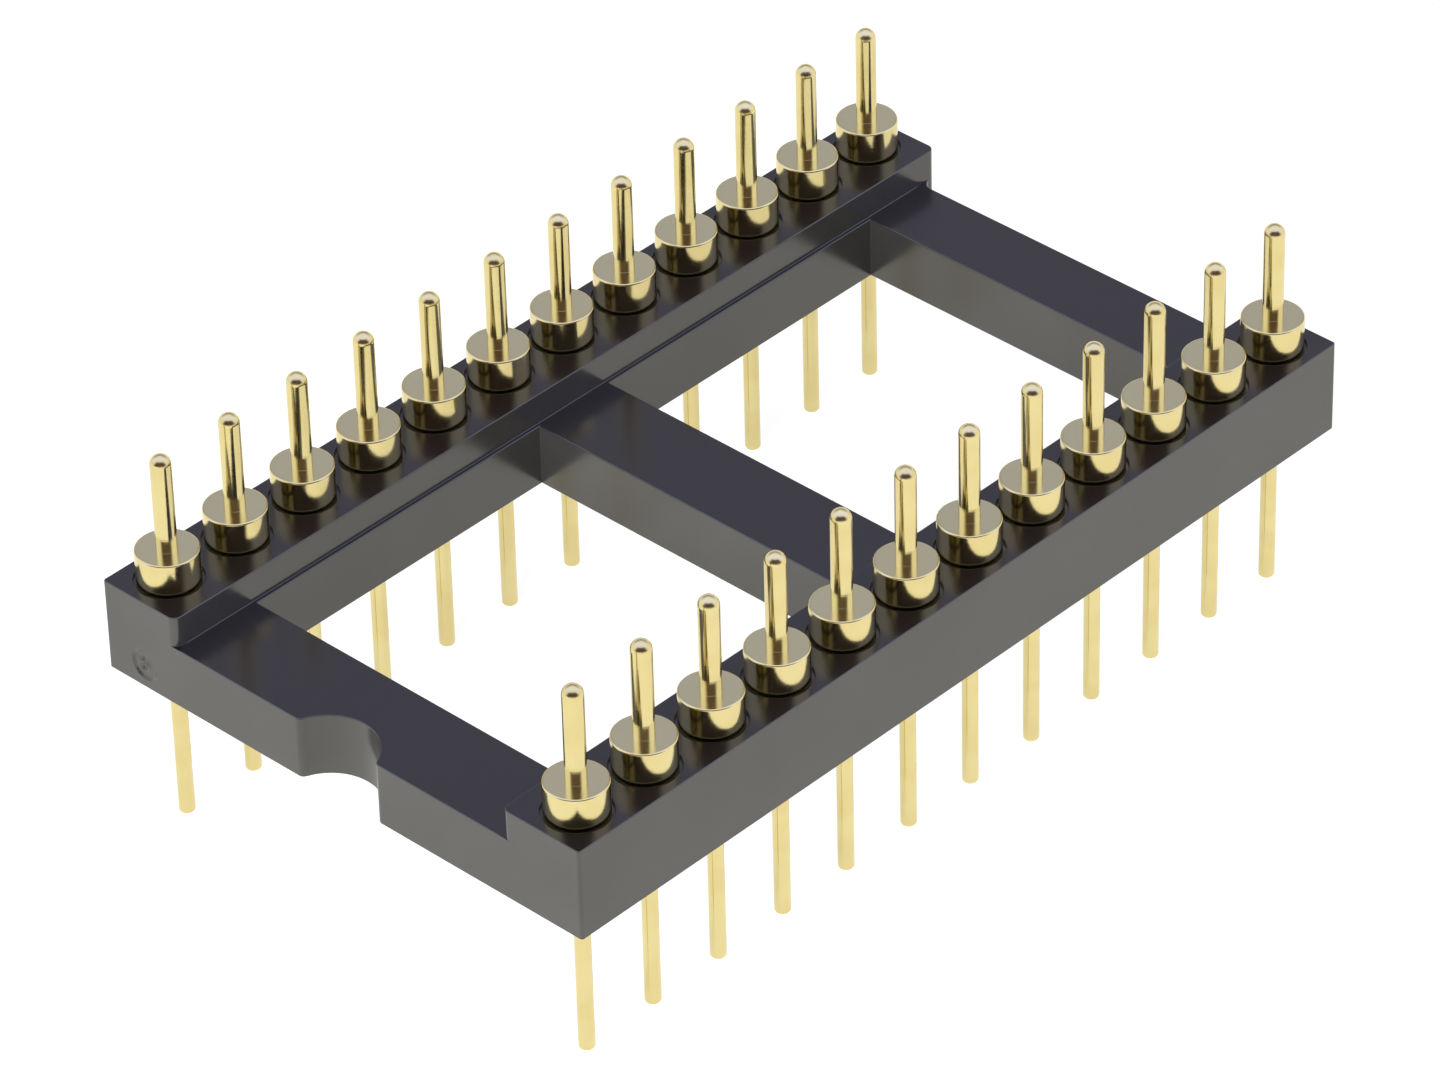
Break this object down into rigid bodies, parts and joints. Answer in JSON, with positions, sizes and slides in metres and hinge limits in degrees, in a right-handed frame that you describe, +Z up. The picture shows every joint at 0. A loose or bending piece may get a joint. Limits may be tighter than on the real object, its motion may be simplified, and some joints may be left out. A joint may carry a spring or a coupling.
{
  "type": "dual-in-line pin adapter",
  "caption": "Dual-in-line adapter: open black moulded frame with cross bars and an end notch, carrying rows of gold-plated turned pins with collars, posts above and tails below.",
  "frame": {"origin": "midway between the rows and midway along them, level with the tips of the tails", "axes": "+X along the rows, away from the notch; +Y across the rows, away from contact 1; +Z up, from the tails to the posts"},
  "size_m": [0.0304, 0.0178, 0.012],
  "materials": {
    "frame_plastic": "glossy moulded thermoplastic",
    "pin_gold": "gold-plated turned brass"
  },
  "bodies": {
    "root": {"frame": "frame_plastic", "pin_01": "pin_gold", "pin_02": "pin_gold", "pin_03": "pin_gold", "pin_04": "pin_gold", "pin_05": "pin_gold", "pin_06": "pin_gold", "pin_07": "pin_gold", "pin_08": "pin_gold", "pin_09": "pin_gold", "pin_10": "pin_gold", "pin_11": "pin_gold", "pin_12": "pin_gold", "pin_13": "pin_gold", "pin_14": "pin_gold", "pin_15": "pin_gold", "pin_16": "pin_gold", "pin_17": "pin_gold", "pin_18": "pin_gold", "pin_19": "pin_gold", "pin_20": "pin_gold", "pin_21": "pin_gold", "pin_22": "pin_gold", "pin_23": "pin_gold", "pin_24": "pin_gold"}
  },
  "joints": []
}
